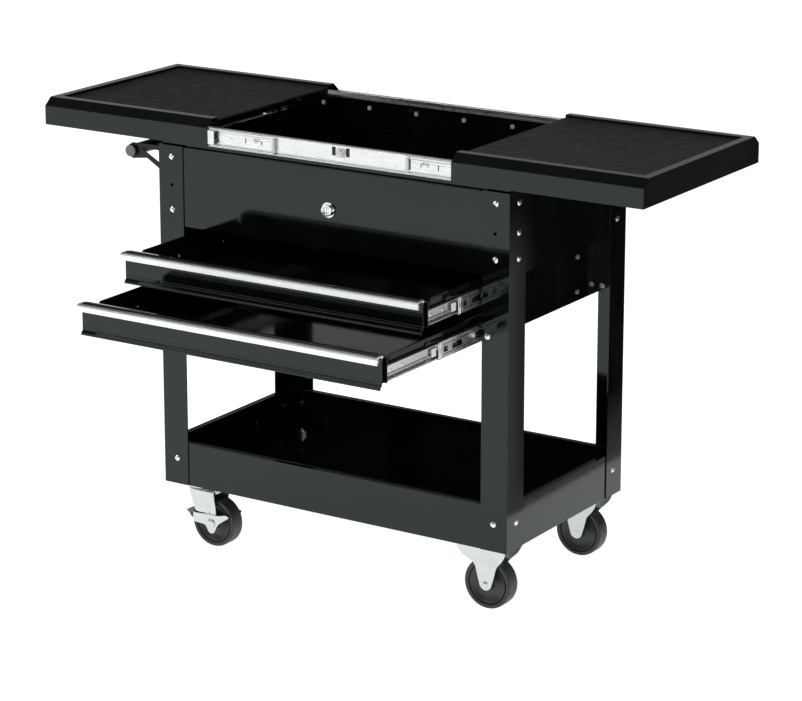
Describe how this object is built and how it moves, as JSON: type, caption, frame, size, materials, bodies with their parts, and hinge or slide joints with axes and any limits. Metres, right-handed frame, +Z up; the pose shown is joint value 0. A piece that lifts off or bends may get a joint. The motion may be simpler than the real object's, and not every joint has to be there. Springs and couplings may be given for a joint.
{
  "type": "rolling tool chest",
  "caption": "Rolling steel tool chest with a deep top well under two sliding lids, shallow drawers on ball-bearing slides, an open bottom tray, a side push handle and casters.",
  "frame": {"origin": "on the floor at the middle of the four corner posts", "axes": "+Z up, -Y the front with the drawer pulls, +X to the right seen from the front, so the push handle is on -X"},
  "size_m": [1.292, 0.7562, 0.844],
  "materials": {
    "black_gloss": "gloss enamel",
    "zinc": "bright zinc plate",
    "bolt_zinc": "bright zinc plate",
    "aluminium": "satin anodised",
    "chrome": "polished",
    "mat_rubber": "matt ribbed",
    "wheel_plastic": "satin",
    "cap_plastic": "satin",
    "bumper_rubber": "matt"
  },
  "bodies": {
    "chest_frame": {"post_front_left": "black_gloss", "post_front_right": "black_gloss", "post_rear_left": "black_gloss", "post_rear_right": "black_gloss", "front_panel": "black_gloss", "rear_panel": "black_gloss", "side_panel_left": "black_gloss", "side_panel_right": "black_gloss", "well_floor": "black_gloss", "bay_plate_left": "black_gloss", "bay_plate_right": "black_gloss", "upstand_front": "black_gloss", "upstand_rear": "black_gloss", "lid_rail_front": "zinc", "lid_rail_rear": "zinc", "drawer_rails_upper": "zinc", "drawer_rails_lower": "zinc", "rail_bumpers": "bumper_rubber", "bottom_tray": "black_gloss", "post_bolts": "bolt_zinc", "slide_screws": "bolt_zinc", "lock_housing": "chrome", "handle_tube": "black_gloss", "handle_end_caps": "cap_plastic", "handle_brackets": "black_gloss", "rigid_caster_front": "zinc", "rigid_caster_rear": "zinc", "swivel_plate_front": "zinc", "swivel_plate_rear": "zinc"},
    "lid_left": {"lid_left": "black_gloss", "mat_left": "mat_rubber", "lid_left_inner_members": "zinc"},
    "lid_left_middle": {"lid_left_middle_members": "zinc"},
    "lid_right": {"lid_right": "black_gloss", "mat_right": "mat_rubber", "lid_right_inner_members": "zinc"},
    "lid_right_middle": {"lid_right_middle_members": "zinc"},
    "drawer_upper": {"drawer_upper": "black_gloss", "pull_upper": "aluminium", "drawer_upper_inner_members": "zinc"},
    "drawer_upper_middle": {"drawer_upper_middle_members": "zinc"},
    "drawer_lower": {"drawer_lower": "black_gloss", "pull_lower": "aluminium", "drawer_lower_inner_members": "zinc"},
    "drawer_lower_middle": {"drawer_lower_middle_members": "zinc"},
    "lock": {"lock_plug": "chrome"},
    "swivel_front": {"swivel_fork_front": "zinc"},
    "wheel_front_left": {"wheel_front_left": "wheel_plastic"},
    "wheel_front_right": {"wheel_front_right": "wheel_plastic"},
    "pedal_front": {"brake_pedal_front": "zinc"},
    "swivel_rear": {"swivel_fork_rear": "zinc"},
    "wheel_rear_left": {"wheel_rear_left": "wheel_plastic"},
    "wheel_rear_right": {"wheel_rear_right": "wheel_plastic"},
    "pedal_rear": {"brake_pedal_rear": "zinc"}
  },
  "joints": [
    {"name": "lid_left_slide", "type": "slide", "parent": "chest_frame", "child": "lid_left", "axis": [1, 0, 0], "range_m": [0, 0.264]},
    {"name": "lid_left_middle_slide", "type": "slide", "parent": "chest_frame", "child": "lid_left_middle", "axis": [1, 0, 0], "range_m": [0, 0.132]},
    {"name": "lid_right_slide", "type": "slide", "parent": "chest_frame", "child": "lid_right", "axis": [-1, 0, 0], "range_m": [0, 0.264]},
    {"name": "lid_right_middle_slide", "type": "slide", "parent": "chest_frame", "child": "lid_right_middle", "axis": [-1, 0, 0], "range_m": [0, 0.132]},
    {"name": "drawer_upper_slide", "type": "slide", "parent": "chest_frame", "child": "drawer_upper", "axis": [0, -1, 0], "range_m": [-0.185, 0.187]},
    {"name": "drawer_upper_middle_slide", "type": "slide", "parent": "chest_frame", "child": "drawer_upper_middle", "axis": [0, -1, 0], "range_m": [-0.0925, 0.0935]},
    {"name": "drawer_lower_slide", "type": "slide", "parent": "chest_frame", "child": "drawer_lower", "axis": [0, -1, 0], "range_m": [-0.313, 0.059]},
    {"name": "drawer_lower_middle_slide", "type": "slide", "parent": "chest_frame", "child": "drawer_lower_middle", "axis": [0, -1, 0], "range_m": [-0.1565, 0.0295]},
    {"name": "lock_turn", "type": "hinge", "parent": "chest_frame", "child": "lock", "pos_m": [0, -0.217, 0.707], "axis": [0, 1, 0], "range_deg": [0, 90]},
    {"name": "swivel_front_turn", "type": "hinge", "parent": "chest_frame", "child": "swivel_front", "pos_m": [-0.323, -0.167, 0.11], "axis": [0, 0, 1], "continuous": true},
    {"name": "wheel_front_left_roll", "type": "hinge", "parent": "swivel_front", "child": "wheel_front_left", "pos_m": [-0.29, -0.167, 0.048], "axis": [0, 1, 0], "continuous": true},
    {"name": "wheel_front_right_roll", "type": "hinge", "parent": "chest_frame", "child": "wheel_front_right", "pos_m": [0.323, -0.167, 0.048], "axis": [0, 1, 0], "continuous": true},
    {"name": "pedal_front_press", "type": "hinge", "parent": "swivel_front", "child": "pedal_front", "pos_m": [-0.29, -0.167, 0.048], "axis": [0, -1, 0], "range_deg": [0, 12]},
    {"name": "swivel_rear_turn", "type": "hinge", "parent": "chest_frame", "child": "swivel_rear", "pos_m": [-0.323, 0.167, 0.11], "axis": [0, 0, 1], "continuous": true},
    {"name": "wheel_rear_left_roll", "type": "hinge", "parent": "swivel_rear", "child": "wheel_rear_left", "pos_m": [-0.29, 0.167, 0.048], "axis": [0, 1, 0], "continuous": true},
    {"name": "wheel_rear_right_roll", "type": "hinge", "parent": "chest_frame", "child": "wheel_rear_right", "pos_m": [0.323, 0.167, 0.048], "axis": [0, 1, 0], "continuous": true},
    {"name": "pedal_rear_press", "type": "hinge", "parent": "swivel_rear", "child": "pedal_rear", "pos_m": [-0.29, 0.167, 0.048], "axis": [0, -1, 0], "range_deg": [0, 12]}
  ],
  "couplings": [
    {"joint": "lid_left_middle_slide", "follows": "lid_left_slide", "ratio": 0.5},
    {"joint": "lid_right_middle_slide", "follows": "lid_right_slide", "ratio": 0.5},
    {"joint": "drawer_upper_middle_slide", "follows": "drawer_upper_slide", "ratio": 0.5},
    {"joint": "drawer_lower_middle_slide", "follows": "drawer_lower_slide", "ratio": 0.5}
  ]
}
